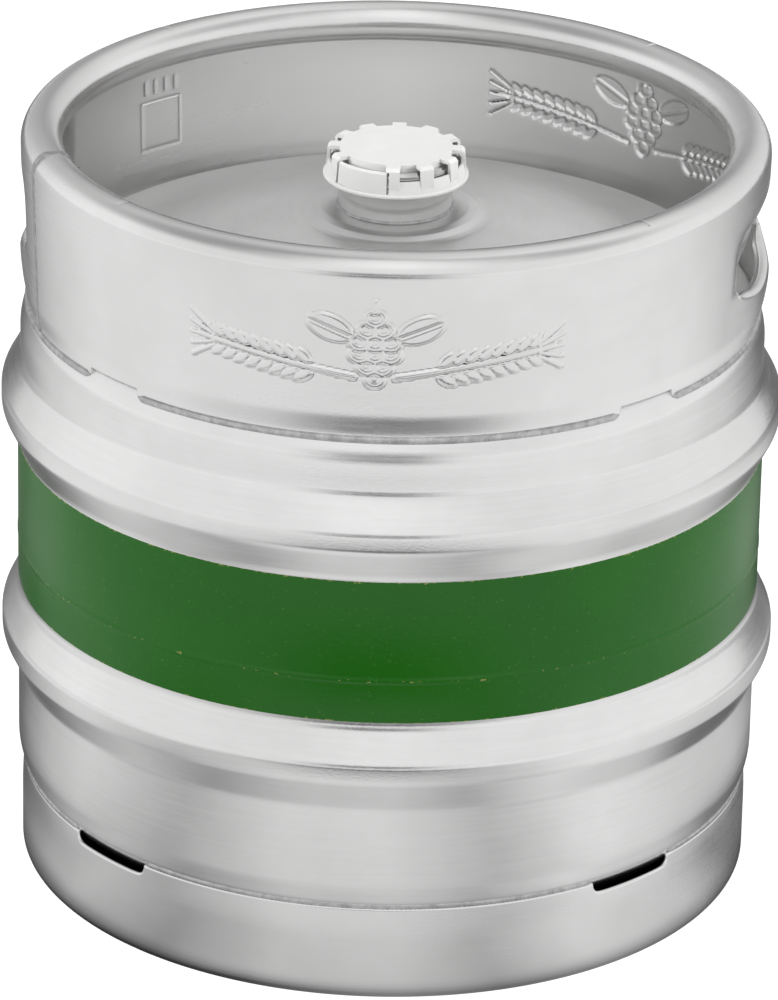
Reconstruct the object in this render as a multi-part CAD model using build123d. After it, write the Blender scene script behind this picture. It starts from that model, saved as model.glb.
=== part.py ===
from build123d import *
import os

# A 30 litre stainless steel beer keg with its extractor spear and dust cap.
# Millimetres, +Z up. The origin is the middle of the foot, on the floor.
# The front is -Y. Azimuths are degrees from the front, positive towards +X.

# overall
height = 400.0
body_r = 190.8
wall = 1.5

# rolling rings
ring_r = 199.5
ring_low_z = 129.5
ring_high_z = 254.5
ring_half = 22.0
ring_crest_half = 5.0
ring_crest_fillet = 9.0
ring_base_fillet = 5.0

# shells
weld_z = 177.5
weld_gap = 2.4
mid_weld_proud = 0.3
low_body_r = 190.9
low_knuckle = 30.0
low_knuckle_z = 66.0
low_pole_z = 20.0
high_body_r = 189.6
high_knuckle = 28.0
high_knuckle_z = 290.5
high_pole_z = 354.0
collar_r = 43.5
collar_top_z = 355.5

# paint
band_low_z = 155.0
band_high_z = 231.0
paint = 0.25

# chimes
chime_wall = 2.0
rim_tube_r = 10.5
rim_tube_mid_r = 178.7
rim_tube_z = 390.1
rim_curl = 250.0
top_wall_foot_r = 185.4
top_wall_bend_r = 186.3
top_wall_bend_z = 325.0
foot_tube_r = 5.0
foot_tube_mid_r = 183.9
foot_tube_z = 4.6
foot_curl = 240.0
bottom_wall_top_r = 187.0
bottom_wall_bend_z = 30.0
drain_azimuths = [45.0, 135.0, 225.0, 315.0]
rim_slit_half = 0.35
rim_slit_depth = 4.0
top_gap_half = 5.5
top_gap_top = 308.3
bottom_slot_half = 8.0
bottom_slot_low = 47.0
bottom_slot_fillet = 3.0
bead_r = 3.0
top_bead = (186.1, 305.6)
bottom_bead = (187.9, 51.6)
seam_half = 0.6
seam_proud = 0.3
top_seam_azimuth = -69.5
bottom_seam_azimuth = 200.0

# hand holes, one on each side
hand_azimuths = [84.5, 264.5]
hand_half = 15.5
hand_low = 326.0
hand_high = 361.0
hand_fillet = 14.0
grip_root = (187.7, 367.2)
grip_bend = (182.6, 352.5)
grip_r = 5.5
grip_curl = 165.0
grip_half = 14.0
lip_r = 1.6
lip_mid_r = 186.8
lip_half = 11.5

# neck
neck_r = 29.0
neck_bore = 26.5
neck_bottom = 340.0
neck_top = 383.0
ledge_top = 347.0
ledge_bore = 23.4
neck_lip_r = 32.3
neck_lip_low = 377.0
groove_low = 376.3
groove_high = 378.3
groove_r = 27.5
snap_bore = 24.4
snap_thick = 1.6
snap_gap_half = 10.0
neck_bead_r = 2.2

# spear body
collar_low = 349.0
housing_top = 376.3
housing_r = 26.4
socket_r = 21.0
socket_floor = 352.0
seat_r = 16.5
seat_low = 348.0
cage_r = 22.0
cage_bore = 20.4
cage_bottom = 300.0
gas_port_width = 12.0
gas_port_deep = 8.0
gas_port_low = 322.0
gas_port_high = 342.0
bayonet_r = 24.2
bayonet_low = 362.0
bayonet_high = 368.0
bayonet_entry = 32.0
bayonet_run = 46.0

# valves
seal_top = 347.9
seal_r = 18.4
seal_boss_r = 15.8
seal_boss_top = 350.5
seal_bore = 8.5
flange_top = 341.0
flange_low = 338.5
flange_r = 18.2
cup_r = 12.2
cup_bore = 10.6
cup_low = 312.0
cup_floor = 314.0
tube_r = 7.0
tube_bore = 6.2
tube_end = 34.0
tube_slot = 4.0
tube_slot_top = 46.0
retainer_top = 302.0
retainer_bore = 9.0
gas_spring_r = 15.6
gas_wire = 1.1
gas_turns = 5.0
beer_spring_r = 7.6
beer_wire = 0.55
beer_turns = 6.0
beer_seat_top = 315.6
beer_seat_bore = 4.5
beer_seat_r = 10.55
plug_r = 7.9
plug_top = 350.0
plug_flange_r = 9.9
plug_flange_top = 340.9
plug_flange_low = 337.5
plug_stem_r = 4.0
plug_stem_end = 326.0

# dust cap
disc_r = 28.6
disc_top = 386.6
disc_low = 384.6
spigot_r = 28.4
spigot_bore = 26.9
rib_r = 34.6
rib_foot_r = 35.5
rib_wall = 1.5
rib_width = 7.0
rib_count = 12
tab_rib = 330.0
cap_flange_r = 36.8
cap_flange_low = 370.8
cap_flange_top = 373.3
cap_flange_bore = 33.2
skirt_top = 379.5
skirt_top_r = 34.1
skirt_foot_r = 36.0
skirt_wall = 1.0
tab_from = -53.0
tab_to = -5.0
tab_low = 373.4
tab_top = 384.6
tab_slit = 2.0


def spun(face, arc=360.0, azimuth=0.0):
    """Turn an r-z face about the keg's axis, centred on an azimuth."""
    solid = revolve(Plane.XZ * face, Axis.Z, revolution_arc=arc)
    return Rot(0, 0, azimuth - 90.0 - arc / 2.0) * solid


def block(r0, r1, z0, z1):
    """Rectangle in the r-z plane."""
    return Pos((r0 + r1) / 2.0, (z0 + z1) / 2.0) * Rectangle(r1 - r0, z1 - z0)


def sector(r0, r1, z0, z1, half, azimuth):
    """Part of a ring, used for cuts."""
    return spun(block(r0, r1, z0, z1), 2.0 * half, azimuth)


def strip(path, thickness):
    """Closed face of even thickness along an open path."""
    edge = path.offset_2d(thickness / 2.0, side=Side.BOTH)
    return make_face(edge)


def crown(knuckle_r, knuckle, knuckle_z, pole_z, sign):
    """Radius of the dome that runs smoothly into its knuckle."""
    rise = sign * (pole_z - knuckle_z)
    across = knuckle_r ** 2 + rise ** 2 - knuckle ** 2
    return across / (2.0 * (rise - knuckle))


def dome_path(wall_r, knuckle, knuckle_z, pole_z, sign):
    """Knuckle and crown from the wall to the pole, outer surface."""
    knuckle_r = wall_r - knuckle
    crown_r = crown(knuckle_r, knuckle, knuckle_z, pole_z, sign)
    centre_z = pole_z - sign * crown_r
    run = Vector(knuckle_r, knuckle_z - centre_z)
    joint = Vector(0, centre_z) + run.normalized() * crown_r
    lean = (joint - Vector(knuckle_r, knuckle_z)).normalized()
    half = (Vector(1, 0) + lean).normalized()
    middle = Vector(knuckle_r, knuckle_z) + half * knuckle
    bend = ThreePointArc((wall_r, knuckle_z), (middle.X, middle.Y), (joint.X, joint.Y))
    half_dome = Vector(joint.X / 2.0, 0)
    rise = (crown_r ** 2 - half_dome.X ** 2) ** 0.5
    top = ThreePointArc((joint.X, joint.Y), (half_dome.X, centre_z + sign * rise), (0, pole_z))
    return bend.edges() + top.edges()


def ring_points(wall_r, centre_z, sign):
    """Corners of a rolling ring, in order of travel."""
    return [
        (wall_r, centre_z + sign * ring_half),
        (ring_r, centre_z + sign * ring_crest_half),
        (ring_r, centre_z - sign * ring_crest_half),
        (body_r, centre_z - sign * ring_half),
    ]


def wall_path(wall_r, knuckle_z, centre_z, end_z, sign):
    """Side wall with its rolling ring, outer surface."""
    corners = [(wall_r, knuckle_z)]
    corners += ring_points(wall_r, centre_z, sign)
    corners += [(body_r, end_z)]
    fillets = [ring_base_fillet, ring_crest_fillet, ring_crest_fillet, ring_base_fillet]
    return FilletPolyline(*corners, radius=fillets)


def shell_face(wall_r, knuckle, knuckle_z, pole_z, centre_z, end_z, sign):
    """Filled half section of one bowl."""
    side = wall_path(wall_r, knuckle_z, centre_z, end_z, sign)
    dome = dome_path(wall_r, knuckle, knuckle_z, pole_z, sign)
    close = Polyline((body_r, end_z), (0, end_z), (0, pole_z))
    return make_face(side.edges() + dome + close.edges())


def bowl(wall_r, knuckle, knuckle_z, pole_z, centre_z, end_z, sign):
    """Outer and inner solids of a bowl, as a pair."""
    outer = shell_face(wall_r, knuckle, knuckle_z, pole_z, centre_z, end_z, sign)
    inner = offset(outer, -wall)
    mouth = block(0, body_r - wall, end_z - 2.0 * wall, end_z + 2.0 * wall)
    pole = pole_z - sign * wall
    core = block(0, 2.0 * wall, min(pole, end_z), max(pole, end_z))
    return outer, inner + mouth + core


def lower_section():
    end_z = weld_z - weld_gap / 2.0
    return bowl(low_body_r, low_knuckle, low_knuckle_z, low_pole_z, ring_low_z, end_z, -1)


def upper_section():
    end_z = weld_z + weld_gap / 2.0
    return bowl(high_body_r, high_knuckle, high_knuckle_z, high_pole_z, ring_high_z, end_z, 1)


def collar_face():
    """Raised ring of the dome round the neck."""
    under = collar_top_z - 2.0 * wall
    corners = [
        (neck_r, collar_top_z),
        (collar_r - 2.5, collar_top_z),
        (collar_r, collar_top_z - 2.5),
        (collar_r + 1.0, high_pole_z - 4.0),
        (collar_r - 2.0, high_pole_z - 4.0),
        (collar_r - 3.0, under),
        (neck_r, under),
    ]
    return make_face(Polyline(*corners, close=True))


def lower_shell():
    outer, inner = lower_section()
    return spun(outer - inner)


def upper_shell():
    outer, inner = upper_section()
    hole = block(0, collar_r - 1.5, high_pole_z - 12.0, high_pole_z + 1.0)
    return spun(outer - inner - hole + collar_face())


def mid_weld():
    low = weld_z - weld_gap / 2.0
    return spun(block(body_r - wall, body_r + mid_weld_proud, low, low + weld_gap))


def paint_band(weld):
    low = weld_z - weld_gap
    high = weld_z + weld_gap
    proud = body_r + mid_weld_proud + paint
    corners = [
        (body_r, band_low_z),
        (body_r + paint, band_low_z),
        (body_r + paint, low),
        (proud, low + weld_gap / 2.0),
        (proud, high - weld_gap / 2.0),
        (body_r + paint, high),
        (body_r + paint, band_high_z),
        (body_r, band_high_z),
    ]
    return spun(make_face(Polyline(*corners, close=True))) - weld


def top_chime_path():
    mid = rim_tube_r - chime_wall / 2.0
    side = rim_tube_mid_r + mid
    wall_line = Polyline((top_wall_foot_r, 300.0), (top_wall_bend_r, top_wall_bend_z), (side, rim_tube_z))
    roll = CenterArc((rim_tube_mid_r, rim_tube_z), mid, 0, rim_curl)
    return Wire(wall_line.edges() + roll.edges())


def bottom_chime_path():
    mid = foot_tube_r - chime_wall / 2.0
    side = foot_tube_mid_r + mid
    wall_line = Polyline((bottom_wall_top_r, 58.0), (side, bottom_wall_bend_z), (side, foot_tube_z))
    roll = CenterArc((foot_tube_mid_r, foot_tube_z), mid, 0, -foot_curl)
    return Wire(wall_line.edges() + roll.edges())


def chime_faces(path, shell, bead_centre):
    """Half sections of a chime, of its weld bead and of its seam."""
    bounds = block(100.0, 210.0, 0.0, height)
    chime = (strip(path, chime_wall) & bounds) - shell
    beside = block(bead_centre[0] - 1.0, 210.0, bead_centre[1] - 9.0, bead_centre[1] + 9.0)
    bead = ((Pos(*bead_centre) * Circle(bead_r)) & beside) - shell - chime
    seam = (strip(path, chime_wall + 2.0 * seam_proud) & bounds) - shell - bead
    return chime, bead, seam.faces().sort_by(SortBy.AREA)[-1]


def hand_hole(azimuth):
    """Rounded opening through the top chime."""
    width = 2.0 * rim_tube_mid_r * 0.01745 * hand_half
    tall = hand_high - hand_low
    shape = RectangleRounded(width, tall, hand_fillet)
    face = Plane((0, 0, (hand_low + hand_high) / 2.0), x_dir=(0, 1, 0), z_dir=(1, 0, 0)) * shape
    return Rot(0, 0, azimuth - 90.0) * extrude(face, 220.0)


def grip(azimuth):
    """Pressed-in wall above a hand hole, with its edge curled inwards."""
    slope = Line(grip_root, grip_bend)
    curl = JernArc(grip_bend, slope % 1, grip_r, -grip_curl)
    return spun(strip(Wire(slope.edges() + curl.edges()), chime_wall), 2.0 * grip_half, azimuth)


def lower_lip(azimuth):
    """Rounded bottom edge of a hand hole."""
    face = Pos(lip_mid_r, hand_low) * Circle(lip_r)
    return spun(face, 2.0 * lip_half, azimuth)


def split_ring(face, seam_azimuth):
    """Ring bent from a strip, open where its seam weld goes."""
    return spun(face, 360.0 - 2.0 * seam_half, seam_azimuth + 180.0)


def top_chime(face):
    chime = split_ring(face, top_seam_azimuth)
    for azimuth in hand_azimuths:
        chime = chime - hand_hole(azimuth)
        chime = chime + grip(azimuth) + lower_lip(azimuth)
    for azimuth in drain_azimuths:
        chime = chime - sector(180.0, 192.0, 298.0, top_gap_top, top_gap_half, azimuth)
        chime = chime - sector(170.0, 192.0, height - rim_slit_depth, 401.0, rim_slit_half, azimuth)
    return chime


def drain_slot(azimuth):
    """Slot between the bottom chime and the shell, rounded below."""
    tall = 20.0
    width = 2.0 * 188.0 * 0.01745 * bottom_slot_half
    shape = RectangleRounded(width, tall, bottom_slot_fillet)
    middle = bottom_slot_low + tall / 2.0
    face = Plane((0, 0, middle), x_dir=(0, 1, 0), z_dir=(1, 0, 0)) * shape
    return Rot(0, 0, azimuth - 90.0) * extrude(face, 220.0)


def bottom_chime(face):
    chime = split_ring(face, bottom_seam_azimuth)
    for azimuth in drain_azimuths:
        chime = chime - drain_slot(azimuth)
    return chime


def chime_welds(face, gap_half):
    """Four bead segments between the drain gaps."""
    beads = [spun(face, 90.0 - 2.0 * gap_half, azimuth + 45.0) for azimuth in drain_azimuths]
    return Compound(children=[solid for bead in beads for solid in bead.solids()])


def neck():
    corners = [
        (ledge_bore, neck_bottom),
        (neck_r, neck_bottom),
        (neck_r, neck_lip_low - 2.0),
        (neck_lip_r, neck_lip_low),
        (neck_lip_r, neck_top - 1.5),
        (neck_lip_r - 1.5, neck_top),
        (neck_bore, neck_top),
        (neck_bore, groove_high),
        (groove_r, groove_high),
        (groove_r, groove_low),
        (neck_bore, groove_low),
        (neck_bore, ledge_top),
        (ledge_bore, ledge_top),
    ]
    return spun(make_face(Polyline(*corners, close=True)))


def neck_weld():
    """Fillet bead between the dome's collar and the neck."""
    corner = Pos(neck_r, collar_top_z) * Circle(neck_bead_r)
    return spun(corner & block(neck_r, neck_r + 5.0, collar_top_z, collar_top_z + 5.0))


def bayonet(azimuth):
    """L-shaped slot that takes one lug of the coupler."""
    entry = sector(socket_r - 2.0, bayonet_r, bayonet_low, housing_top + 1.0, bayonet_entry / 2.0, azimuth)
    side = azimuth + (bayonet_entry + bayonet_run) / 2.0
    run = sector(socket_r - 2.0, bayonet_r, bayonet_low, bayonet_high, bayonet_run / 2.0 + 1.0, side)
    return entry + run


def spear_body():
    corners = [
        (seat_r, seat_low),
        (cage_bore, seat_low),
        (cage_bore, cage_bottom),
        (cage_r, cage_bottom),
        (cage_r, collar_low),
        (housing_r, collar_low),
        (housing_r, housing_top),
        (socket_r, housing_top),
        (socket_r, socket_floor),
        (seat_r, socket_floor),
    ]
    body = spun(make_face(Polyline(*corners, close=True)))
    middle = (gas_port_low + gas_port_high) / 2.0
    port = Box(gas_port_deep, gas_port_width, gas_port_high - gas_port_low)
    port = Pos((cage_r + cage_bore) / 2.0, 0, middle) * port
    for turn in range(4):
        body = body - Rot(0, 0, 90.0 * turn) * port
    return body - bayonet(0.0) - bayonet(180.0)


def ring(r0, r1, z0, z1):
    return spun(block(r0, r1, z0, z1))


def neck_seal():
    return ring(ledge_bore + 0.6, neck_bore - 0.1, ledge_top, collar_low)


def retaining_ring():
    whole = ring(snap_bore, groove_r - 0.1, groove_low, groove_low + snap_thick)
    gap = sector(snap_bore - 1.0, groove_r + 1.0, groove_low - 1.0, groove_high, snap_gap_half, 90.0)
    return whole - gap


def gas_seal():
    low = ring(seal_bore, seal_r, flange_top, seal_top)
    return low + ring(seal_bore, seal_boss_r, seal_top - 1.0, seal_boss_top)


def riser_head():
    cup = ring(cup_bore, cup_r, cup_low, flange_top)
    flange = ring(cup_bore, flange_r, flange_low, flange_top)
    floor = ring(tube_r, cup_r, cup_low, cup_floor)
    return cup + flange + floor


def down_tube():
    tube = ring(tube_bore, tube_r, tube_end, cup_floor)
    tall = tube_slot_top - tube_end
    slot = Pos(0, 0, tube_end + tall / 2.0) * Box(30.0, tube_slot, tall)
    return tube - slot - Rot(0, 0, 90.0) * slot


def coil(radius, wire, turns, low, high):
    """Round-wire compression spring between two levels."""
    tall = high - low - 2.0 * wire
    path = Helix(pitch=tall / turns, height=tall, radius=radius)
    start = Plane(origin=path @ 0, z_dir=path % 0)
    return Pos(0, 0, low + wire) * sweep(start * Circle(wire), path=path, is_frenet=True)


def gas_spring():
    return coil(gas_spring_r, gas_wire, gas_turns, retainer_top, flange_low)


def spring_retainer():
    """Pressed cup locked in the bottom of the cage."""
    return ring(retainer_bore, cage_bore, cage_bottom, retainer_top)


def beer_plug():
    pin = ring(0.0, plug_r, plug_flange_top - 1.0, plug_top)
    flange = ring(0.0, plug_flange_r, plug_flange_low, plug_flange_top)
    stem = ring(0.0, plug_stem_r, plug_stem_end, plug_flange_low)
    return pin + flange + stem


def beer_spring():
    return coil(beer_spring_r, beer_wire, beer_turns, beer_seat_top, plug_flange_low)


def beer_spring_seat():
    return ring(beer_seat_bore, beer_seat_r, cup_floor, beer_seat_top)


def cap_rib(azimuth):
    """Post from the disc down to the flange, clear of the neck's lip."""
    corners = [
        (disc_r - 2.0, disc_low),
        (rib_r - rib_wall, disc_low),
        (rib_r - rib_wall, cap_flange_top - 1.0),
        (rib_foot_r, cap_flange_top - 1.0),
        (rib_r, disc_top - 1.5),
        (rib_r - 1.5, disc_top),
        (disc_r - 2.0, disc_top),
    ]
    face = Plane.XZ * make_face(Polyline(*corners, close=True))
    post = extrude(face, rib_width / 2.0, both=True)
    return Rot(0, 0, azimuth - 90.0) * post


def cap_skirt():
    """Sloping wall between the ribs, above the round flange."""
    corners = [
        (cap_flange_bore, cap_flange_low + 0.8),
        (cap_flange_bore + 0.8, cap_flange_low),
        (cap_flange_r - 0.8, cap_flange_low),
        (cap_flange_r, cap_flange_low + 0.8),
        (cap_flange_r, cap_flange_top - 0.8),
        (skirt_foot_r, cap_flange_top),
        (skirt_top_r, skirt_top),
        (skirt_top_r - skirt_wall, skirt_top),
        (cap_flange_bore, cap_flange_top),
    ]
    return spun(make_face(Polyline(*corners, close=True)))


def cap():
    body = ring(0.0, disc_r, disc_low, disc_top)
    body = body + ring(spigot_bore, spigot_r, neck_top, disc_low)
    body = body + cap_skirt()
    for number in range(rib_count):
        azimuth = 360.0 * number / rib_count
        if azimuth != tab_rib:
            body = body + cap_rib(azimuth)
    half = (tab_to - tab_from) / 2.0 + tab_slit
    middle = (tab_to + tab_from) / 2.0
    return body - sector(31.0, 40.0, cap_flange_top, disc_low - 0.01, half, middle)


def cap_tab():
    """Curved pull tab that stands on the cap's flange."""
    half = (tab_to - tab_from) / 2.0
    middle = (tab_to + tab_from) / 2.0
    corners = [
        (rib_r - rib_wall, tab_low),
        (rib_foot_r - 0.2, tab_low),
        (rib_r, tab_top - 1.0),
        (rib_r - 0.8, tab_top),
        (rib_r - rib_wall, tab_top),
    ]
    return spun(make_face(Polyline(*corners, close=True)), 2.0 * half, middle)


def save(name, shape):
    solids = shape.solids()
    piece = solids[0] if len(solids) == 1 else Compound(children=list(solids))
    piece.label = name
    export_step(piece, "parts/" + name + ".step")


def build():
    low_outer = lower_section()[0]
    high_outer = upper_section()[0]
    rim, rim_bead, rim_seam = chime_faces(top_chime_path(), high_outer, top_bead)
    foot, foot_bead, foot_seam = chime_faces(bottom_chime_path(), low_outer, bottom_bead)
    weld = mid_weld()
    save("lower_shell", lower_shell())
    save("upper_shell", upper_shell())
    save("mid_weld", weld)
    save("paint_band", paint_band(weld))
    save("top_chime", top_chime(rim))
    save("top_chime_seam", spun(rim_seam, 2.0 * seam_half, top_seam_azimuth))
    save("top_chime_welds", chime_welds(rim_bead, top_gap_half))
    save("bottom_chime", bottom_chime(foot))
    save("bottom_chime_seam", spun(foot_seam, 2.0 * seam_half, bottom_seam_azimuth))
    save("bottom_chime_welds", chime_welds(foot_bead, bottom_slot_half))
    save("neck", neck())
    save("neck_weld", neck_weld())
    save("spear_body", spear_body())
    save("neck_seal", neck_seal())
    save("retaining_ring", retaining_ring())
    save("gas_seal", gas_seal())
    save("riser_head", riser_head())
    save("down_tube", down_tube())
    save("gas_spring", gas_spring())
    save("spring_retainer", spring_retainer())
    save("beer_plug", beer_plug())
    save("beer_spring", beer_spring())
    save("beer_spring_seat", beer_spring_seat())
    save("cap", cap())
    save("cap_tab", cap_tab())


os.makedirs("parts", exist_ok=True)
build()
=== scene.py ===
import math
import bpy
import bmesh
import numpy as np
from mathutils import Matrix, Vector


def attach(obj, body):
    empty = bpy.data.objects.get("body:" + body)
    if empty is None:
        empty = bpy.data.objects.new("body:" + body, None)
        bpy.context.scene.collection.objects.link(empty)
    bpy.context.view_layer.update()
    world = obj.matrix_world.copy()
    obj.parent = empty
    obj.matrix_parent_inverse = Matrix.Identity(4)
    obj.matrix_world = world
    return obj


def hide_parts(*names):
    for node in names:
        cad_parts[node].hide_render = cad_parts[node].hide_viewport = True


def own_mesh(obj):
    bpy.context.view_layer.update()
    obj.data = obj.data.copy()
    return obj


# A stainless steel beer keg with a green painted band and a white dust cap.
# Profiles are lists of (radius, height) in millimetres; MM turns them into the frame's metres.
# Azimuths are in degrees round the keg: 0 is the front, -Y, and 90 is +X.

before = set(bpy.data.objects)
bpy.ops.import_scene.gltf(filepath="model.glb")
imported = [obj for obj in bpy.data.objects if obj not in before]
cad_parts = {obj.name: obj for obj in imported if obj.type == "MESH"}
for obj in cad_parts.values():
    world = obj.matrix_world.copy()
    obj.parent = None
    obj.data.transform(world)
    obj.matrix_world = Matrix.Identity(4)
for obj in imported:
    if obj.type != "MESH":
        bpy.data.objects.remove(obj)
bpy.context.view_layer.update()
MM = 0.001

# ---------------------------------------------------------------- driving dimensions, mm and degrees
BODY_R = 190.8
LOW_WALL_R = 190.9
HIGH_WALL_R = 189.6
SHELL = 1.5
RING_R = 199.3
RING_HALF = 22.0
RING_CREST_HALF = 5.0
RING_ROUNDS = [12, 9, 9, 12]
LOW_RING_Z = 129.5
HIGH_RING_Z = 254.5
LOW_SHELL_END = 176.4
HIGH_SHELL_END = 178.6
LOW_KNUCKLE = (30.0, 66.0)
HIGH_KNUCKLE = (28.0, 290.5)
LOW_POLE_Z = 20.0
HIGH_POLE_Z = 354.0
COLLAR_R = 48.2

BAND_LOW = 155.0
BAND_HIGH = 231.0
RIDGE_Z = 177.6

SHEET = 2.0
GAPS = (45.0, 135.0, 225.0, 315.0)
HAND = (84.5, 264.5)
HAND_HALF = 15.5
SLIT_Z = 338.0
HOLE_TOP = 356.0
HOLE_LOW = 327.5
HOLE_LIP = 3.0
HOLE_CURL = 5.0
PRESSED_IN = 7.4
PRESSED_OUT = 2.7
FOOT_EDGE_IN = 0.9
TOP_EDGE_Z = 304.6
TOP_GAP_LIFT = 3.9
TOP_GAP_HALF = 5.5
CHIME_FOOT_R = 185.9
CHIME_LEAN = 2.3
WALL_TOP_Z = 382.5
RIM_MID = (178.7, 389.3)
RIM_ROLL = 9.5
RIM_SLIT_DEEP = 5.0
RIM_SLIT_HALF = 0.26
EMBLEMS = (0.0, 138.6)
EMBLEM_Z = 353.0
PANEL_AZ = -135.7
PANEL_Z = 344.0
PANEL_HALF = 13.0
RELIEF_R = 187.0

SKIRT_TOP_Z = 51.0
SKIRT_LOW_Z = 7.0
SKIRT_R = 187.9
SLOT_DEEP = 6.0
SLOT_HALF = 8.0
FOOT_MID = (183.9, 5.05)
FOOT_ROLL = 4.0

BEAD_HALF_WIDE = 1.5
BEAD_HALF_TALL = 2.0

NECK_R = 29.0
NECK_BORE = 26.5
NECK_LOW_Z = 340.2
NECK_TOP_Z = 383.0
NECK_LIP_R = 32.3
SEAT_BORE = 23.4
SEAT_Z = 347.0
GROOVE_R = 27.5
GROOVE_Z = (376.3, 378.3)
CAP_BEVEL = 0.35

# ---------------------------------------------------------------- camera, metres
CAM_AZ = math.radians(2.5)
CAM_OUT = 3.2196
CAM_UP = 1.606
PITCH = math.radians(23.722)
ROLL = math.radians(1.189)


def make_camera():
    data = bpy.data.cameras.new("camera")
    cam = bpy.data.objects.new("camera", data)
    bpy.context.scene.collection.objects.link(cam)
    bpy.context.scene.camera = cam
    cam.location = (math.sin(CAM_AZ) * CAM_OUT, -math.cos(CAM_AZ) * CAM_OUT, CAM_UP)
    data.lens = 245.5
    data.sensor_width = 36.0
    data.clip_start = 0.5
    data.clip_end = 60.0
    flat = math.cos(PITCH)
    sight = Vector((-math.sin(CAM_AZ) * flat, math.cos(CAM_AZ) * flat, -math.sin(PITCH)))
    cam.rotation_mode = "QUATERNION"
    cam.rotation_quaternion = sight.to_track_quat("-Z", "Y")
    bpy.context.view_layer.update()
    turned = cam.rotation_quaternion.to_matrix()
    right = turned @ Vector((1, 0, 0))
    up = turned @ Vector((0, 1, 0))
    turned.col[0] = right * math.cos(ROLL) + up * math.sin(ROLL)
    turned.col[1] = up * math.cos(ROLL) - right * math.sin(ROLL)
    cam.rotation_quaternion = turned.to_quaternion()


make_camera()


# ---------------------------------------------------------------- shader helpers
def material(name):
    mat = bpy.data.materials.new(name)
    mat.use_nodes = True
    nt = mat.node_tree
    nt.nodes.clear()
    out = nt.nodes.new("ShaderNodeOutputMaterial")
    bsdf = nt.nodes.new("ShaderNodeBsdfPrincipled")
    nt.links.new(bsdf.outputs[0], out.inputs[0])
    return mat, nt, bsdf


def maths(nt, op, a, b=None):
    n = nt.nodes.new("ShaderNodeMath")
    n.operation = op
    for i, v in enumerate((a, b)):
        if v is None:
            continue
        if isinstance(v, (int, float)):
            n.inputs[i].default_value = v
        else:
            nt.links.new(v, n.inputs[i])
    return n.outputs[0]


def add(nt, a, b):
    return maths(nt, "ADD", a, b)


def times(nt, a, b):
    return maths(nt, "MULTIPLY", a, b)


def rest_of(nt, share):
    """1 - share"""
    return maths(nt, "SUBTRACT", 1.0, share)


def coords(nt):
    """The object's own coordinates."""
    return nt.nodes.new("ShaderNodeTexCoord").outputs["Object"]


def split(nt, vec):
    sep = nt.nodes.new("ShaderNodeSeparateXYZ")
    nt.links.new(vec, sep.inputs[0])
    return sep.outputs


def square_radius(nt, xyz):
    """Squared distance from the keg's axis."""
    return add(nt, times(nt, xyz[0], xyz[0]), times(nt, xyz[1], xyz[1]))


def radius(nt, xyz):
    """Distance from the keg's axis."""
    return maths(nt, "SQRT", square_radius(nt, xyz))


def round_angle(nt, xyz):
    """Azimuth in radians, 0 at the front."""
    return maths(nt, "ARCTAN2", xyz[0], times(nt, xyz[1], -1.0))


def polar(nt, around, along):
    """Coordinates that run round the keg's axis, so streaks follow the turning or rolling direction."""
    xyz = split(nt, coords(nt))
    com = nt.nodes.new("ShaderNodeCombineXYZ")
    nt.links.new(times(nt, maths(nt, "ARCTAN2", xyz[0], xyz[1]), around), com.inputs[0])
    nt.links.new(times(nt, xyz[2], along), com.inputs[1])
    nt.links.new(times(nt, radius(nt, xyz), along), com.inputs[2])
    return com.outputs[0]


def noise(nt, vec, scale, detail=4.0, rough=0.55):
    n = nt.nodes.new("ShaderNodeTexNoise")
    n.inputs["Scale"].default_value = scale
    n.inputs["Detail"].default_value = detail
    n.inputs["Roughness"].default_value = rough
    nt.links.new(vec, n.inputs["Vector"])
    return n.outputs[0]


def ramp(nt, fac, stops):
    """Colour by level: stops are (position, colour)."""
    n = nt.nodes.new("ShaderNodeValToRGB")
    elements = n.color_ramp.elements
    for end in (0, -1):
        elements[end].position = stops[end][0]
        elements[end].color = (*stops[end][1], 1)
    for position, colour in stops[1:-1]:
        elements.new(position).color = (*colour, 1)
    nt.links.new(fac, n.inputs[0])
    return n.outputs[0]


def remap(nt, v, from_low, from_high, to_low, to_high):
    n = nt.nodes.new("ShaderNodeMapRange")
    for i, x in enumerate((from_low, from_high, to_low, to_high)):
        n.inputs[i + 1].default_value = x
    nt.links.new(v, n.inputs[0])
    return n.outputs[0]


def blend_colours(nt, share, first, second, mode="MIX"):
    """From first to second by share. Share and second may be plain values."""
    n = nt.nodes.new("ShaderNodeMix")
    n.data_type = "RGBA"
    n.blend_type = mode
    for socket, v in ((n.inputs["Factor"], share), (n.inputs[6], first), (n.inputs[7], second)):
        if isinstance(v, (int, float, tuple)):
            socket.default_value = v
        else:
            nt.links.new(v, socket)
    return n.outputs[2]


def bump(nt, bsdf, height, strength, distance, before=None):
    n = nt.nodes.new("ShaderNodeBump")
    n.inputs["Strength"].default_value = strength
    n.inputs["Distance"].default_value = distance
    nt.links.new(height, n.inputs["Height"])
    if before is not None:
        nt.links.new(before, n.inputs["Normal"])
    nt.links.new(n.outputs[0], bsdf.inputs["Normal"])
    return n.outputs[0]


def grey(v, warm=0.0):
    return (v * (1 + warm), v, v * (1 - warm))


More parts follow.
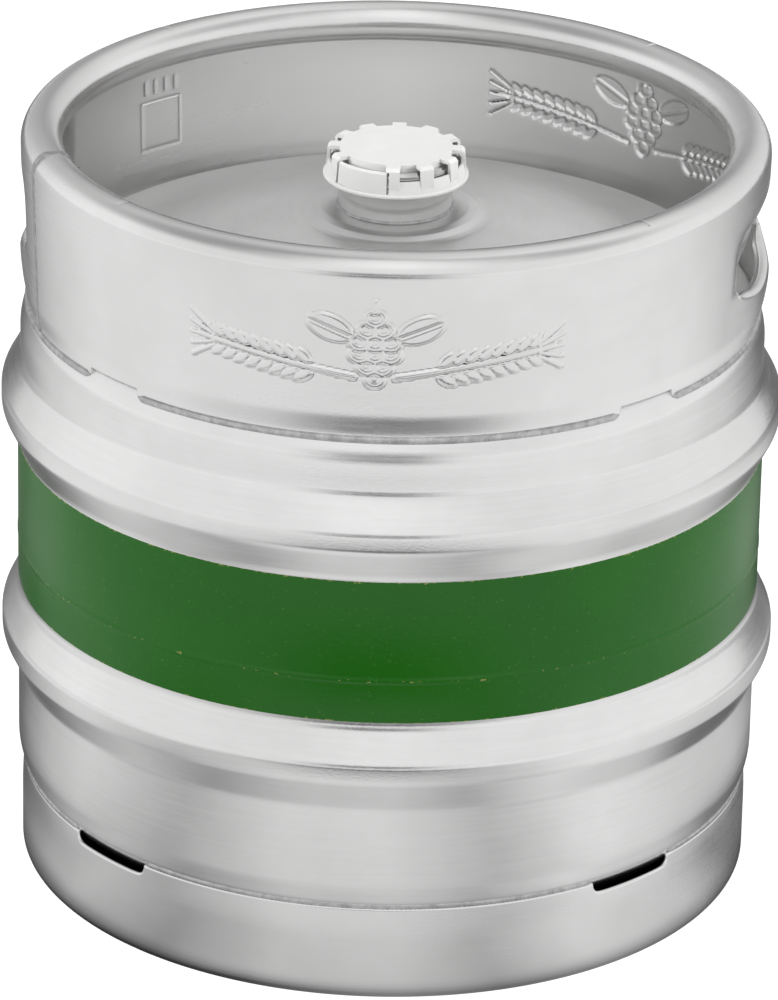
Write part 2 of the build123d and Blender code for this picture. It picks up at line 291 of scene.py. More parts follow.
# ---------------------------------------------------------------- materials
def steel(name, base, rough, streak, cloud, grain, fine=1.0, top_rough=0.0):
    """Satin stainless steel: soft clouds, fine streaks round the axis, and a blasted grain.
    top_rough is added to the roughness above the shoulder of the keg."""
    mat, nt, b = material(name)
    b.inputs["Metallic"].default_value = 1.0
    obj = coords(nt)
    clouds = noise(nt, obj, scale=7.0, detail=5.0, rough=0.6)
    lines = noise(nt, polar(nt, around=3.0, along=420.0 * fine), scale=1.0, detail=6.0, rough=0.65)
    grains = noise(nt, obj, scale=900.0, detail=2.0, rough=0.5)
    dull = grey(base * (1 - 0.10 * cloud), 0.004)
    bright = grey(base * (1 + 0.06 * cloud), 0.002)
    colour = ramp(nt, clouds, [(0.3, dull), (0.7, bright)])
    streaks = ramp(nt, lines, [(0.3, grey(0.86)), (0.65, grey(1.0))])
    nt.links.new(blend_colours(nt, streak, colour, streaks, "MULTIPLY"), b.inputs["Base Color"])
    cloudy = remap(nt, clouds, 0.3, 0.7, rough - 0.04, rough + 0.05)
    roughness = add(nt, cloudy, remap(nt, lines, 0.3, 0.7, -0.03, 0.03))
    if top_rough > 0:
        z = split(nt, obj)[2]
        roughness = add(nt, roughness, remap(nt, z, 300.0 * MM, 316.0 * MM, 0.0, top_rough))
    nt.links.new(roughness, b.inputs["Roughness"])
    round_axis = nt.nodes.new("ShaderNodeTangent")
    round_axis.direction_type = "RADIAL"
    round_axis.axis = "Z"
    nt.links.new(round_axis.outputs[0], b.inputs["Tangent"])
    b.inputs["Anisotropic"].default_value = 0.55
    ridged = bump(nt, b, lines, 0.03 * streak, 0.0003)
    bump(nt, b, grains, grain, 0.00015, ridged)
    return mat


def weld_material():
    mat, nt, b = material("weld_steel")
    b.inputs["Metallic"].default_value = 1.0
    n = noise(nt, coords(nt), scale=260.0, detail=3.0)
    nt.links.new(ramp(nt, n, [(0.3, grey(0.42)), (0.7, grey(0.66))]), b.inputs["Base Color"])
    b.inputs["Roughness"].default_value = 0.42
    bump(nt, b, n, 0.5, 0.0004)
    return mat


def paint_material():
    """Green paint with light specks, worn through in small spots at its edges and over the weld."""
    mat, nt, b = material("green_paint")
    obj = coords(nt)
    z = split(nt, obj)[2]
    shades = [(0.3, (0.0025, 0.058, 0.0003)), (0.7, (0.005, 0.068, 0.0007))]
    green = ramp(nt, noise(nt, obj, scale=9.0, detail=4.0), shades)
    specks = remap(nt, noise(nt, obj, scale=620.0, detail=2.0, rough=0.6), 0.66, 0.74, 0.0, 0.5)
    specked = blend_colours(nt, specks, green, (0.04, 0.13, 0.02, 1))
    low_edge = remap(nt, z, BAND_LOW * MM, (BAND_LOW + 1.4) * MM, 0.24, 0.0)
    high_edge = remap(nt, z, (BAND_HIGH - 1.4) * MM, BAND_HIGH * MM, 0.0, 0.24)
    off_ridge = maths(nt, "ABSOLUTE", maths(nt, "SUBTRACT", z, RIDGE_Z * MM))
    ridge = remap(nt, off_ridge, 0.3 * MM, 1.6 * MM, 0.13, 0.0)
    chips = noise(nt, obj, scale=450.0, detail=3.0, rough=0.6)
    rubbed = add(nt, add(nt, chips, add(nt, low_edge, high_edge)), ridge)
    worn = remap(nt, rubbed, 0.745, 0.775, 0.0, 0.8)
    nt.links.new(blend_colours(nt, worn, specked, (0.16, 0.17, 0.05, 1)), b.inputs["Base Color"])
    b.inputs["Roughness"].default_value = 0.18
    b.inputs["Specular IOR Level"].default_value = 0.33
    bump(nt, b, noise(nt, obj, scale=340.0, detail=2.0), 0.25, 0.0002)
    return mat


def plastic_material():
    mat, nt, b = material("white_plastic")
    obj = coords(nt)
    shades = [(0.3, (0.64, 0.64, 0.63)), (0.7, (0.68, 0.68, 0.67))]
    nt.links.new(ramp(nt, noise(nt, obj, scale=60.0, detail=4.0), shades), b.inputs["Base Color"])
    b.inputs["Roughness"].default_value = 0.45
    b.inputs["Subsurface Weight"].default_value = 0.15
    b.inputs["Subsurface Radius"].default_value = (0.003, 0.003, 0.0028)
    bump(nt, b, noise(nt, obj, scale=900.0, detail=2.0), 0.1, 0.0001)
    return mat


def rubber_material():
    mat, nt, b = material("black_rubber")
    n = noise(nt, coords(nt), scale=200.0, detail=3.0)
    nt.links.new(ramp(nt, n, [(0.3, grey(0.018)), (0.7, grey(0.035))]), b.inputs["Base Color"])
    b.inputs["Roughness"].default_value = 0.6
    return mat


CHIME_STEEL = steel("chime_steel", base=0.86, rough=0.235, streak=0.12, cloud=1.0, grain=0.18)
SHELL_STEEL = steel("shell_steel", base=0.86, rough=0.205, streak=0.28, cloud=1.0, grain=0.25, top_rough=0.27)
TURNED_STEEL = steel("turned_steel", base=0.7, rough=0.14, streak=0.35, cloud=0.3, grain=0.04, fine=3.0)
WELD = weld_material()
PAINT = paint_material()
PLASTIC = plastic_material()
RUBBER = rubber_material()


# ---------------------------------------------------------------- geometry helpers
def spot(r, z, az):
    """A point in metres from radius and height in mm and azimuth in degrees."""
    a = np.radians(az)
    return np.stack([r * np.sin(a) * MM, -r * np.cos(a) * MM, z * MM + 0 * a], axis=-1)


def smooth01(x):
    """Smooth step from 0 to 1 as x goes from 0 to 1."""
    x = np.clip(x, 0, 1)
    return x * x * (3 - 2 * x)


def away(az, centre):
    """Azimuth from centre, between -180 and 180."""
    return (az - centre + 180.0) % 360.0 - 180.0


def arc(cx, cz, rad, a0, a1, n):
    t = np.radians(np.linspace(a0, a1, n))
    return np.stack([cx + rad * np.cos(t), cz + rad * np.sin(t)], axis=-1)


def fillet_path(points, radii, step=0.6):
    """Polyline with rounded corners; radii are those of the inner points."""
    out = [points[0]]
    for i in range(1, len(points) - 1):
        p, a, b = (np.array(points[k], float) for k in (i, i - 1, i + 1))
        rad = radii[i - 1]
        if rad <= 0:
            out.append(tuple(p))
            continue
        u = (a - p) / np.linalg.norm(a - p)
        v = (b - p) / np.linalg.norm(b - p)
        half = math.acos(max(-1, min(1, float(u @ v)))) / 2
        reach = rad / math.tan(half)
        c = p + (u + v) / np.linalg.norm(u + v) * rad / math.sin(half)
        s = p + u * reach - c
        e = p + v * reach - c
        a0 = math.atan2(s[1], s[0])
        sweep = (math.atan2(e[1], e[0]) - a0 + math.pi) % (2 * math.pi) - math.pi
        n = max(3, int(abs(sweep) * rad / step))
        for k in range(n + 1):
            t = a0 + sweep * k / n
            out.append((c[0] + rad * math.cos(t), c[1] + rad * math.sin(t)))
    out.append(points[-1])
    return np.array(out, float)


def refine(path, step):
    """Adds points so that no stretch of a path is longer than step."""
    out = [path[0]]
    for a, b in zip(path[:-1], path[1:]):
        n = max(1, int(math.ceil(np.linalg.norm(b - a) / step)))
        for k in range(1, n + 1):
            out.append(a + (b - a) * k / n)
    return np.array(out)


def inward(path, depth):
    """The path moved by depth to its inner side, towards the axis and the middle."""
    t = np.gradient(path, axis=0)
    t /= np.linalg.norm(t, axis=1)[:, None]
    n = np.stack([-t[:, 1], t[:, 0]], axis=-1)
    if n[0][0] > 0:
        n = -n
    q = path + n * depth
    q[:, 0] = np.maximum(q[:, 0], 0)
    return q


def spaced_azimuths(fine_bands):
    """Azimuths all round, 1.2 degrees apart and closer in each band.
    A band is (centre, offset, half, step): within half of the places that lie offset from centre."""
    a = np.arange(3600) * 0.1
    step = np.full(3600, 1.2)
    for centre, offset, half, fine in fine_bands:
        step[np.abs(np.abs(away(a, centre)) - offset) < half] = fine
    count = np.cumsum(0.1 / step)
    n = int(count[-1])
    return np.interp(np.arange(n) / n * count[-1], count, a + 0.1)


def grid_faces(rows, cols, wrap, start=0):
    """Quads of a grid of points; wrap joins its last column to the first."""
    faces = []
    for i in range(rows - 1):
        low = start + i * cols
        for j in range(cols if wrap else cols - 1):
            k = (j + 1) % cols
            faces.append((low + j, low + k, low + cols + k, low + cols + j))
    return faces


def piece(name, verts, faces, mat, weld, sharp=None):
    """Smooth-shaded mesh on the keg's body. weld joins points closer than that many metres."""
    me = bpy.data.meshes.new(name)
    me.from_pydata([tuple(v) for v in verts], [], faces)
    bm = bmesh.new()
    bm.from_mesh(me)
    bmesh.ops.remove_doubles(bm, verts=bm.verts, dist=weld)
    bmesh.ops.recalc_face_normals(bm, faces=bm.faces)
    bm.to_mesh(me)
    bm.free()
    o = bpy.data.objects.new(name, me)
    bpy.context.scene.collection.objects.link(o)
    me.materials.append(mat)
    me.polygons.foreach_set("use_smooth", [True] * len(me.polygons))
    if sharp is not None:
        me.set_sharp_from_angle(angle=math.radians(sharp))
    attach(o, "keg")
    return o


def lathe(name, path, mat, cols):
    """Turned solid from a profile; its last point is joined to the first."""
    az = np.linspace(0, 360, cols, endpoint=False)
    p = np.array(path, float)
    p = np.vstack([p, p[:1]])
    verts = np.concatenate([spot(np.full(cols, r), np.full(cols, z), az) for r, z in p])
    return piece(name, verts, grid_faces(len(p), cols, True), mat, weld=1e-7, sharp=30)


def give_thickness(o):
    solid = o.modifiers.new("sheet", "SOLIDIFY")
    solid.thickness = SHEET * MM
    solid.offset = 0.0


# ---------------------------------------------------------------- shells
def crown_points(wall_r, knuckle, pole, sign):
    """Knuckle and dome from the wall to the pole. knuckle is its (radius, centre height)."""
    rk, zk = knuckle
    kr = wall_r - rk
    rise = sign * (pole - zk)
    rc = (kr ** 2 + rise ** 2 - rk ** 2) / (2.0 * (rise - rk))
    cz = pole - sign * rc
    end = math.degrees(math.atan2(zk - cz, kr))
    return np.vstack([arc(kr, zk, rk, 0, end, 18), arc(0, cz, rc, end, 90.0 * sign, 60)[1:]])


def shell_path(wall_r, knuckle, pole, ring_z, end_z, sign):
    """Outer profile of a shell, from its weld edge over the rolling ring to the pole."""
    side = fillet_path(
        [
            (BODY_R, end_z),
            (BODY_R, ring_z - sign * RING_HALF),
            (RING_R, ring_z - sign * RING_CREST_HALF),
            (RING_R, ring_z + sign * RING_CREST_HALF),
            (wall_r, ring_z + sign * RING_HALF),
            (wall_r, knuckle[1]),
        ],
        RING_ROUNDS,
    )
    return np.vstack([refine(side, 6.0), crown_points(wall_r, knuckle, pole, sign)[1:]])


def bowl(name, outer):
    return lathe(name, np.vstack([outer, inward(outer, SHELL)[::-1]]), SHELL_STEEL, cols=320)


lower = bowl("lower_bowl", shell_path(LOW_WALL_R, LOW_KNUCKLE, LOW_POLE_Z, LOW_RING_Z, LOW_SHELL_END, -1))
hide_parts("lower_shell")

crown = shell_path(HIGH_WALL_R, HIGH_KNUCKLE, HIGH_POLE_Z, HIGH_RING_Z, HIGH_SHELL_END, 1)
crown = crown[crown[:, 0] > COLLAR_R]
collar = fillet_path(
    [(48.0, 351.15), (45.0, 352.0), (41.8, 353.7), (37.5, 354.7), (NECK_R + 0.02, 355.3)],
    [2.5, 3.0, 5.0],
    step=0.3,
)
upper = bowl("upper_bowl", np.vstack([crown, collar]))
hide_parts("upper_shell")

# ---------------------------------------------------------------- paint band, bulged over the weld
PAINT_IN = BODY_R + 0.02
PAINT_OUT = BODY_R + 0.24
PAINT_RIDGE = BODY_R + 0.5
band = fillet_path(
    [
        (PAINT_IN, BAND_LOW),
        (PAINT_OUT, BAND_LOW + 0.2),
        (PAINT_OUT, RIDGE_Z - 2.0),
        (PAINT_RIDGE, RIDGE_Z - 0.6),
        (PAINT_RIDGE, RIDGE_Z + 0.6),
        (PAINT_OUT, RIDGE_Z + 2.0),
        (PAINT_OUT, BAND_HIGH - 0.2),
        (PAINT_IN, BAND_HIGH),
    ],
    [0.1, 0.6, 0.6, 0.6, 0.6, 0.1],
    step=0.3,
)
paint = lathe("paint_coat", band, PAINT, cols=320)
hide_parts("paint_band")


# ---------------------------------------------------------------- pressed marks of the top chime
def grain(u, v, cu, cv, a, b, turn):
    """A raised oval with a soft edge: 1 in the middle, 0 outside."""
    c = math.cos(math.radians(turn))
    s = math.sin(math.radians(turn))
    x = (u - cu) * c + (v - cv) * s
    y = -(u - cu) * s + (v - cv) * c
    d = np.sqrt((x / a) ** 2 + (y / b) ** 2)
    return smooth01((1.0 - d) * min(a, b) / 1.1)


def stroke(u, v, u0, v0, u1, v1, w):
    """A raised line between two points."""
    dx = u1 - u0
    dy = v1 - v0
    t = np.clip(((u - u0) * dx + (v - v0) * dy) / (dx * dx + dy * dy), 0, 1)
    d = np.hypot(u - u0 - t * dx, v - v0 - t * dy)
    return smooth01((w - d) / 0.9 + 0.5)


def hop_cone(u, v):
    """Rows of overlapping scales, given as (how many, half width), and a stalk."""
    h = np.zeros_like(u)
    rows = ((1, 6.2), (2, 6.4), (3, 6.4), (3, 6.4), (2, 6.2), (1, 5.6))
    for row, (count, width) in enumerate(rows):
        for k in range(count):
            cu = (k - (count - 1) / 2) * 7.4
            cv = 15.5 - row * 6.3
            hollow = grain(u, v, cu, cv + 1.2, width - 2.4, 3.4, 0)
            h = np.maximum(h, grain(u, v, cu, cv, width, 5.2, 0) - 0.55 * hollow)
    return np.maximum(h, stroke(u, v, 0, 19, 0, 24.5, 1.3))


def leaf(u, v, side):
    vein = stroke(u, v, side * 12, 6, side * 32, 14, 0.9)
    blade = grain(u, v, side * 22, 10, 13.0, 7.0, side * 22)
    return blade - 0.6 * vein * (blade > 0.2)


def barley_ear(u, v, side):
    """A stem with eight pairs of grains and five bristles."""
    h = stroke(u, v, side * 10, -15, side * 88, -3, 1.2)
    for k in range(8):
        cu = side * (35 + 6.2 * k)
        cv = -11.2 + 0.95 * k
        size = 1.0 - 0.02 * k
        for lean in (-1, 1):
            turn = side * (7 + lean * 36)
            h = np.maximum(h, grain(u, v, cu, cv + lean * 5.2, 6.2 * size, 3.0 * size, turn))
    for k in range(-2, 3):
        h = np.maximum(h, stroke(u, v, side * 80, -4 + k * 1.6, side * 93, -3 + k * 6.0, 0.8))
    return h


def emblem(u, v):
    """Generic brewing relief: a hop cone between two leaves and two ears of barley. u, v in mm."""
    h = hop_cone(u, v)
    for side in (-1, 1):
        h = np.maximum(h, leaf(u, v, side))
        h = np.maximum(h, barley_ear(u, v, side))
    return h


def relief(az, z):
    """Outward push of the chime's wall in mm from the pressed marks."""
    push = np.zeros(np.broadcast(az, z).shape)
    for c in EMBLEMS:
        push = push + 1.15 * emblem(np.radians(away(az, c)) * RELIEF_R, z - EMBLEM_Z)
    u = np.radians(away(az, PANEL_AZ)) * RELIEF_R
    v = z - PANEL_Z
    off_square = np.abs(np.maximum(np.abs(u), np.abs(v)) - PANEL_HALF)
    push = push + 0.6 * smooth01(1.0 - off_square)
    for k in range(4):
        mark = -10 + k * 6.6
        push = push + 0.5 * stroke(u, v, mark, 18, mark, 24, 1.0)
    return push


# ---------------------------------------------------------------- top chime
def chime_azimuths():
    bands = [(c, 0.0, 31.0, 0.24) for c in EMBLEMS]
    for c in HAND:
        bands += [(c, 0.0, 24.0, 0.5), (c, HAND_HALF, 1.2, 0.15)]
    bands.append((PANEL_AZ, 0.0, 8.0, 0.3))
    for c in GAPS:
        bands += [(c, TOP_GAP_HALF, 0.6, 0.12), (c, 0.0, 0.5, 0.1)]
    return spaced_azimuths(bands)


AZ = chime_azimuths()


def across_hole(az):
    """Place across the nearer hand hole, -1 and 1 at its ends, far outside it elsewhere."""
    u = np.full_like(az, 9.0)
    for c in HAND:
        d = away(az, c) / HAND_HALF
        u = np.where(np.abs(d) < np.abs(u), d, u)
    return u


def hole_height(u):
    """Share of a hand hole's full height along its width: a long lens with pointed ends."""
    return np.clip(1 - np.abs(u) ** 2.4, 0, 1) ** 0.8


def chime_wall(az, z, u):
    """Radius of the wall: pressed in above the hand holes and bulged out below them."""
    is_open = hole_height(u) > 0
    near = smooth01((1.25 - np.abs(u)) / 0.65)
    wide = smooth01(1.3 - np.abs(u))
    above = (z > SLIT_Z) * smooth01((z - SLIT_Z) / 5.0 + is_open)
    below = (z <= SLIT_Z) * smooth01((SLIT_Z + 5.0 - z) / 8.0 + is_open)
    r = CHIME_FOOT_R + CHIME_LEAN * np.clip((z - 306.0) / 80.0, 0, 1) ** 1.15
    r = r - PRESSED_IN * near * smooth01((379.0 - z) / 24.0) * above
    r = r + PRESSED_OUT * wide * smooth01((z - 302.0) / 26.0) * below
    r = r - FOOT_EDGE_IN * smooth01((318.0 - z) / 12.0)
    return r + relief(az, z)


def top_edge(az):
    """Lower edge of the chime: on the shell, but lifted over the drain gaps."""
    z = np.full_like(az, TOP_EDGE_Z)
    for c in GAPS:
        z = z + TOP_GAP_LIFT * smooth01((TOP_GAP_HALF + 0.1 - np.abs(away(az, c))) / 0.25)
    return z


def wall_rows(z_from, z_to, count, u):
    """Rows of points on the wall between two edges."""
    rows = []
    for t in np.linspace(0, 1, count):
        z = z_from + (z_to - z_from) * t
        rows.append(spot(chime_wall(AZ, z, u), z, AZ))
    return rows


def edge_rows(z, size, angles, side, u):
    """Rows that curl inwards from an edge of the hand hole; side is 1 for upwards, -1 for down."""
    r = chime_wall(AZ, z, u)
    rows = []
    for t in np.radians(angles):
        rows.append(spot(r - size * (1 - np.cos(t)), z + side * size * np.sin(t), AZ))
    return rows


def rim_rows():
    """Rows of the rolled rim, with a small slit across it over each drain gap."""
    rows = []
    for a in np.linspace(-2, 250, 44):
        roll = np.full_like(AZ, RIM_ROLL)
        if 66 < a < 98:
            for c in GAPS:
                roll = roll - RIM_SLIT_DEEP * smooth01((RIM_SLIT_HALF - np.abs(away(AZ, c))) / 0.1)
        r = RIM_MID[0] + roll * math.cos(math.radians(a))
        z = RIM_MID[1] + roll * math.sin(math.radians(a))
        rows.append(spot(r, z, AZ))
    return rows


def make_top_chime():
    """The wall under the hand holes' middle line, then the wall above it with the rolled rim."""
    u = across_hole(AZ)
    open_ = hole_height(u)
    hole_low = SLIT_Z - (SLIT_Z - HOLE_LOW) * open_
    hole_top = SLIT_Z + (HOLE_TOP - SLIT_Z) * open_
    lip = HOLE_LIP * np.minimum(1, open_ * 1.6)
    curl = HOLE_CURL * np.minimum(1, open_ * 1.2)
    low = wall_rows(top_edge(AZ), hole_low, 34, u)
    low += edge_rows(hole_low, lip, np.linspace(20, 160, 8), 1, u)
    high = edge_rows(hole_top, curl, np.linspace(185, 15, 12), -1, u)
    high += wall_rows(hole_top, WALL_TOP_Z, 76, u)
    high += rim_rows()
    cols = len(AZ)
    verts = np.concatenate([np.array(low).reshape(-1, 3), np.array(high).reshape(-1, 3)])
    faces = grid_faces(len(low), cols, True)
    faces += grid_faces(len(high), cols, True, len(low) * cols)
    o = piece("rim_chime", verts, faces, CHIME_STEEL, weld=2e-6, sharp=60)
    give_thickness(o)
    return o


rim = make_top_chime()
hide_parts("top_chime")


# ---------------------------------------------------------------- bottom chime
def make_bottom_chime():
    """Skirt with four drain slots in its top edge and a foot that is curled inwards."""
    az = spaced_azimuths([(c, 7.6, 1.0, 0.12) for c in GAPS])
    edge = np.full_like(az, SKIRT_TOP_Z)
    for c in GAPS:
        d = np.abs(away(az, c)) / SLOT_HALF
        edge = edge - SLOT_DEEP * np.clip(1 - d ** 14, 0, 1) ** 0.5 * (d < 1)
    rows = []
    for t in np.linspace(0, 1, 30):
        z = edge + (SKIRT_LOW_Z - edge) * t
        r = SKIRT_R - 0.9 * np.clip((z - 34) / 18.0, 0, 1) ** 1.5
        rows.append(spot(r, z, az))
    for r, z in arc(*FOOT_MID, FOOT_ROLL, -4, -240, 22):
        rows.append(spot(np.full_like(az, r), np.full_like(az, z), az))
    verts = np.array(rows).reshape(-1, 3)
    o = piece("foot_chime", verts, grid_faces(len(rows), len(az), True), CHIME_STEEL, weld=1e-6, sharp=60)
    give_thickness(o)
    return o


foot = make_bottom_chime()
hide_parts("bottom_chime")


# ---------------------------------------------------------------- weld beads
def bead(name, r, z, gap, node):
    """Four rippled beads between the drain gaps, thinner at their ends."""
    verts = []
    faces = []
    for c in GAPS:
        az = np.arange(c + gap, c + 90 - gap + 0.01, 0.2)
        ends = smooth01(np.minimum(az - az[0], az[-1] - az) / 1.2) ** 0.5
        size = np.maximum(ends, 0.15)
        ripple = 1 + 0.06 * np.sin(np.radians(az) * 520)
        ring = []
        for t in np.radians(np.linspace(0, 360, 14, endpoint=False)):
            out = BEAD_HALF_WIDE * np.cos(t) * ripple * size
            up = BEAD_HALF_TALL * np.sin(t) * size
            ring.append(spot(r + out, z + up, az))
        ring.append(ring[0])
        faces += grid_faces(len(ring), len(az), False, sum(len(v) for v in verts))
        verts.append(np.array(ring).reshape(-1, 3))
    o = piece(name, np.concatenate(verts), faces, WELD, weld=1e-7)
    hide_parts(node)


bead("rim_beads", r=185.9, z=304.2, gap=5.6, node="top_chime_welds")
bead("foot_beads", r=187.0, z=52.0, gap=8.0, node="bottom_chime_welds")

# ---------------------------------------------------------------- neck
neck = lathe(
    "neck_socket",
    fillet_path(
        [
            (SEAT_BORE, NECK_LOW_Z),
            (NECK_R, NECK_LOW_Z),
            (NECK_R, 374.8),
            (NECK_LIP_R, 377),
            (NECK_LIP_R, NECK_TOP_Z - 1.5),
            (NECK_LIP_R - 1.5, NECK_TOP_Z),
            (NECK_BORE + 0.1, NECK_TOP_Z),
            (NECK_BORE, GROOVE_Z[1]),
            (GROOVE_R, GROOVE_Z[1]),
            (GROOVE_R, GROOVE_Z[0]),
            (NECK_BORE, GROOVE_Z[0]),
            (NECK_BORE, SEAT_Z),
            (SEAT_BORE, SEAT_Z),
        ],
        [0.3, 0.8, 0.8, 0.8, 0.8, 0.4, 0, 0, 0, 0, 0],
        step=0.2,
    ),
    TURNED_STEEL,
    cols=192,
)
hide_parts("neck")
neck_bead = lathe(
    "neck_bead",
    [(NECK_R, 355.1), (30.4, 355.1), (29.6, 355.4), (29.2, 355.9), (NECK_R, 356.6)],
    WELD,
    cols=192,
)
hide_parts("neck_weld")

# ---------------------------------------------------------------- CAD nodes that stay as they are
FINISH = (
    (WELD, ("mid_weld", "top_chime_seam", "bottom_chime_seam")),
    (RUBBER, ("neck_seal", "gas_seal", "beer_plug")),
    (PLASTIC, ("cap", "cap_tab")),
    (
        TURNED_STEEL,
        (
            "spear_body",
            "retaining_ring",
            "riser_head",
            "down_tube",
            "gas_spring",
            "spring_retainer",
            "beer_spring",
            "beer_spring_seat",
        ),
    ),
)
for mat, nodes in FINISH:
    for node in nodes:
        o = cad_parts[node]
        o.data.materials.clear()
        o.data.materials.append(mat)

# Each spring stands on its seat and is given a mesh of its own.
# Rows are (node, joint, seat height, top height, travel) in mm.
SPRINGS = (
    ("gas_spring", "gas_valve", 302.0, 338.5, 8.0),
    ("beer_spring", "beer_valve", 315.6, 337.5, 6.0),
)
for node, joint, seat, top, travel in SPRINGS:
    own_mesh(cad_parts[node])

for node in ("cap", "cap_tab"):
    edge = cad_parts[node].modifiers.new("edge", "BEVEL")
    edge.width = CAP_BEVEL * MM
    edge.segments = 2
    edge.limit_method = "ANGLE"
    edge.angle_limit = math.radians(40)


# ---------------------------------------------------------------- floor, metres
PAPER_DARK_R = 0.184


def plane(name, side, z, mat):
    me = bpy.data.meshes.new(name)
    h = side / 2
    me.from_pydata([(-h, -h, 0), (h, -h, 0), (h, h, 0), (-h, h, 0)], [], [(0, 1, 2, 3)])
    o = bpy.data.objects.new(name, me)
    o.location = (0, 0, z)
    me.materials.append(mat)
    bpy.context.scene.collection.objects.link(o)
    return o


def paper_material():
    """White paper that glows, but not under the keg: the unlit disc there is painted shade, so that the drain
    slots stay dark.
    """
    mat, nt, b = material("floor_paper")
    obj = coords(nt)
    shades = [(0.3, grey(0.24)), (0.7, grey(0.26))]
    nt.links.new(ramp(nt, noise(nt, obj, scale=3.0), shades), b.inputs["Base Color"])
    b.inputs["Roughness"].default_value = 0.9
    b.inputs["Specular IOR Level"].default_value = 0.0
    b.inputs["Emission Color"].default_value = (1, 1, 1, 1)
    # Painted shade under the keg: the paper has no glow within PAPER_DARK_R of the axis.
    outside = maths(nt, "GREATER_THAN", square_radius(nt, split(nt, obj)), PAPER_DARK_R ** 2)
    nt.links.new(times(nt, outside, 0.9), b.inputs["Emission Strength"])
    return mat


plane("floor", 40, 0, paper_material())

# Light levels round the keg, as (azimuth, level). The first five are rings of the floor as the
# metal mirrors it, from the keg outwards; SKY is above the horizon and LIFT is high up.
# The levels were chosen over several rounds of comparing renders with the grey levels of
# the metal in the photograph, so they suit that one view best.
# A colour ramp stops at 1, so it holds HALF of each level and the strength is doubled.
HALF = 0.5
# CLOSE is painted shade: it darkens the mirrored floor right at the keg's foot.
CLOSE = [(-180, 0.05), (-100, 0.2), (-60, 0.08), (-20, 0.1), (5, 0.4), (40, 0.35), (70, 0.15)]
CLOSE += [(100, 0.1), (180, 0.05)]
FOOT = [(-180, 0.1), (-104, 0.15), (-90, 0.34), (-74, 0.72), (-60, 0.92), (-37, 0.52), (-16, 1.0)]
FOOT += [(5, 1.02), (22, 0.66), (41, 1.2), (67, 0.95), (84, 0.3), (110, 0.1), (180, 0.1)]
NEAR = [(-180, 0.1), (-116, 0.2), (-92, 0.85), (-76, 1.05), (-46, 0.6), (-20, 1.08), (3, 1.1)]
NEAR += [(27, 0.68), (52, 1.2), (84, 0.95), (106, 0.9), (124, 0.5), (142, 0.1), (180, 0.1)]
MID = [(-180, 0.15), (-130, 0.25), (-106, 1.0), (-85, 1.05), (-52, 0.9), (-28, 0.7), (-10, 0.12)]
MID += [(5, 0.05), (18, 0.3), (40, 0.95), (70, 1.05), (98, 1.1), (124, 0.9), (146, 0.2), (180, 0.15)]
FAR = [(-180, 0.25), (-146, 0.15), (-118, 0.8), (-95, 1.0), (-40, 0.97), (0, 1.05), (60, 1.02)]
FAR += [(95, 1.0), (116, 0.75), (142, 0.15), (180, 0.2)]
SKY = [(-180, 0.5), (-154, 0.62), (-121, 1.0), (-100, 1.15), (-60, 1.0), (-27, 1.02), (0, 1.1)]
SKY += [(34, 0.95), (68, 1.05), (110, 1.12), (140, 0.95), (160, 0.8), (180, 0.5)]
LIFT = [(-180, 0.85), (-120, 0.5), (-80, 0.42), (-40, 0.8), (0, 1.35), (40, 0.95), (80, 0.5)]
LIFT += [(130, 1.05), (180, 0.85)]
FLOOR_NEAR = 0.6
FLOOR_FAR = 0.84
SKY_LEVEL = 0.84

# Where one ring of the floor passes into the next, and the light near the foot, by radius in metres.
RINGS = ((NEAR, 0.25, 0.29), (MID, 0.44, 0.54), (FAR, 0.66, 0.8))
UNDER_KEG = 0.186
CLOSE_FADE = (0.19, 0.207)
LEVEL_FADE = (0.19, 0.6)
FRONT_DARK_FROM = (1.3, 2.2)
# Where the dark patches in front and behind fade, in radians from the front.
FRONT_FADE = (0.16, 0.36)
BACK_FADE = (2.9, 3.08)


def by_direction(nt, xyz, stops):
    """Grey level by direction round the keg."""
    fac = remap(nt, round_angle(nt, xyz), -math.pi, math.pi, 0.0, 1.0)
    return ramp(nt, fac, [((az + 180.0) / 360.0, grey(level * HALF)) for az, level in stops])


def floor_glow_material():
    """Painted reflection: the pale floor as the metal mirrors it, a glowing plane that is no lamp, with
    painted shade close to the keg, behind it, and in front, where the photograph's camera stands. The dark
    patch is fixed to the front, not to the view."""
    mat = bpy.data.materials.new("floor_glow")
    mat.use_nodes = True
    nt = mat.node_tree
    nt.nodes.clear()
    out = nt.nodes.new("ShaderNodeOutputMaterial")
    glow = nt.nodes.new("ShaderNodeEmission")
    nt.links.new(glow.outputs[0], out.inputs[0])
    xyz = split(nt, coords(nt))
    rad = radius(nt, xyz)
    colour = by_direction(nt, xyz, FOOT)
    for stops, start, end in RINGS:
        share = remap(nt, rad, start, end, 0.0, 1.0)
        colour = blend_colours(nt, share, colour, by_direction(nt, xyz, stops))
    nt.links.new(colour, glow.inputs[0])
    level = remap(nt, rad, *LEVEL_FADE, FLOOR_NEAR / HALF, FLOOR_FAR / HALF)
    # Painted shade on the mirrored floor near the keg's foot, set by direction from CLOSE.
    clear = remap(nt, rad, *CLOSE_FADE, 0.0, 1.0)
    close = times(nt, by_direction(nt, xyz, CLOSE), 1.0 / HALF)
    shade = add(nt, clear, times(nt, rest_of(nt, clear), close))
    outside = maths(nt, "GREATER_THAN", rad, UNDER_KEG)
    seen = times(nt, times(nt, outside, shade), level)
    # Painted shade on the mirrored floor: a dark patch far out in front of the keg.
    off_front = maths(nt, "ABSOLUTE", round_angle(nt, xyz))
    in_front = rest_of(nt, remap(nt, off_front, *FRONT_FADE, 0.0, 1.0))
    dark = times(nt, remap(nt, rad, *FRONT_DARK_FROM, 0.0, 1.0), in_front)
    nt.links.new(times(nt, seen, rest_of(nt, times(nt, dark, 0.9))), glow.inputs[1])
    return mat


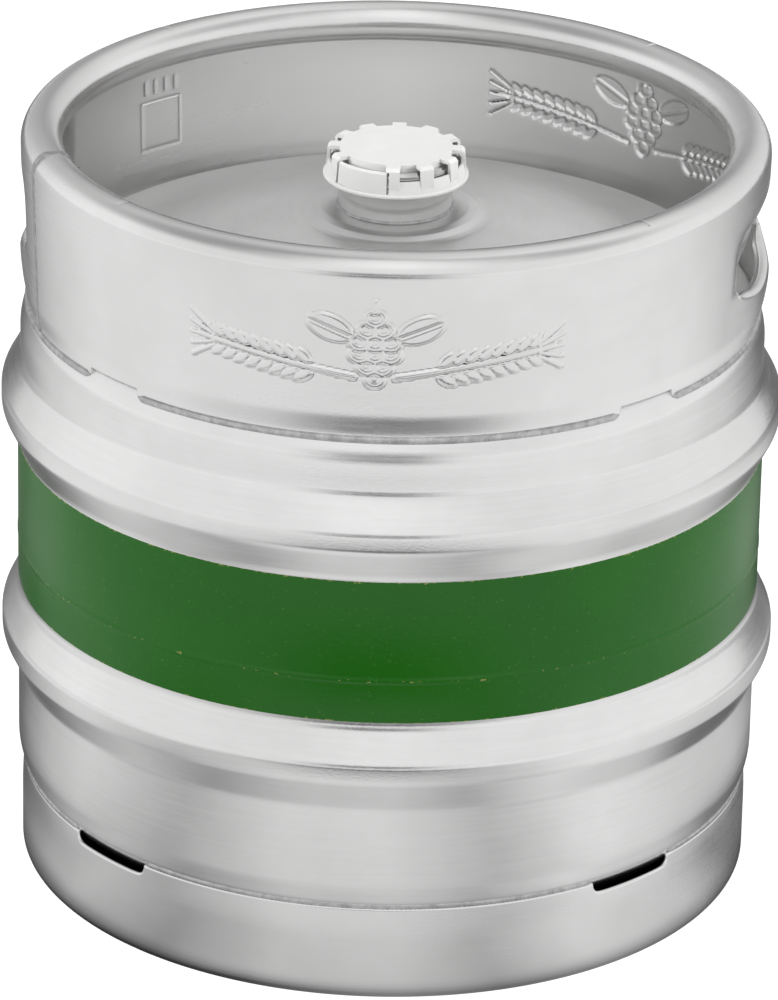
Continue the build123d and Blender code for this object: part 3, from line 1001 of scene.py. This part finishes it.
# Only reflections show this plane: the camera sees the paper floor under it.
mirrored = plane("floor_seen_by_metal", 12, 0.0006, floor_glow_material())
mirrored.visible_camera = False
mirrored.visible_shadow = False
mirrored.visible_diffuse = False
mirrored.visible_transmission = False


# ---------------------------------------------------------------- sky and lights
def make_world():
    """Sky by direction, with other levels high up, and dark patches low in front and behind."""
    world = bpy.data.worlds.new("studio")
    bpy.context.scene.world = world
    world.use_nodes = True
    nt = world.node_tree
    xyz = split(nt, nt.nodes.new("ShaderNodeTexCoord").outputs["Generated"])
    high = remap(nt, xyz[2], 0.5, 0.75, 0.0, 1.0)
    sky = blend_colours(nt, high, by_direction(nt, xyz, SKY), by_direction(nt, xyz, LIFT))
    off_front = maths(nt, "ABSOLUTE", round_angle(nt, xyz))
    in_front = remap(nt, off_front, *FRONT_FADE, 1.0, 0.0)
    behind = remap(nt, off_front, *BACK_FADE, 0.0, 1.0)
    front_low = times(nt, in_front, remap(nt, xyz[2], 0.08, 0.2, 1.0, 0.0))
    back_low = times(nt, behind, remap(nt, xyz[2], 0.12, 0.3, 1.0, 0.0))
    dark = add(nt, times(nt, front_low, 0.9), times(nt, back_low, 0.75))
    background = nt.nodes["Background"]
    nt.links.new(blend_colours(nt, dark, sky, (0, 0, 0, 1)), background.inputs[0])
    background.inputs[1].default_value = SKY_LEVEL / HALF


def area_light(name, where, target, size, power):
    """Soft light that the metal doesn't mirror."""
    d = bpy.data.lights.new(name, "AREA")
    d.shape = "RECTANGLE"
    d.size, d.size_y = size
    d.energy = power
    o = bpy.data.objects.new(name, d)
    o.location = where
    o.rotation_mode = "QUATERNION"
    o.rotation_quaternion = (Vector(target) - Vector(where)).to_track_quat("-Z", "Y")
    o.visible_glossy = False
    bpy.context.scene.collection.objects.link(o)


make_world()
bpy.context.scene.view_settings.view_transform = "Standard"
area_light("key_left", (-3.0, -1.1, 1.3), (0, 0, 0.2), (1.8, 1.6), 105)
area_light("key_right", (3.0, -1.1, 1.3), (0, 0, 0.2), (1.8, 1.6), 105)
area_light("overhead", (0.2, 0.6, 3.2), (0, 0, 0.3), (2.4, 2.4), 16)

bpy.context.view_layer.update()
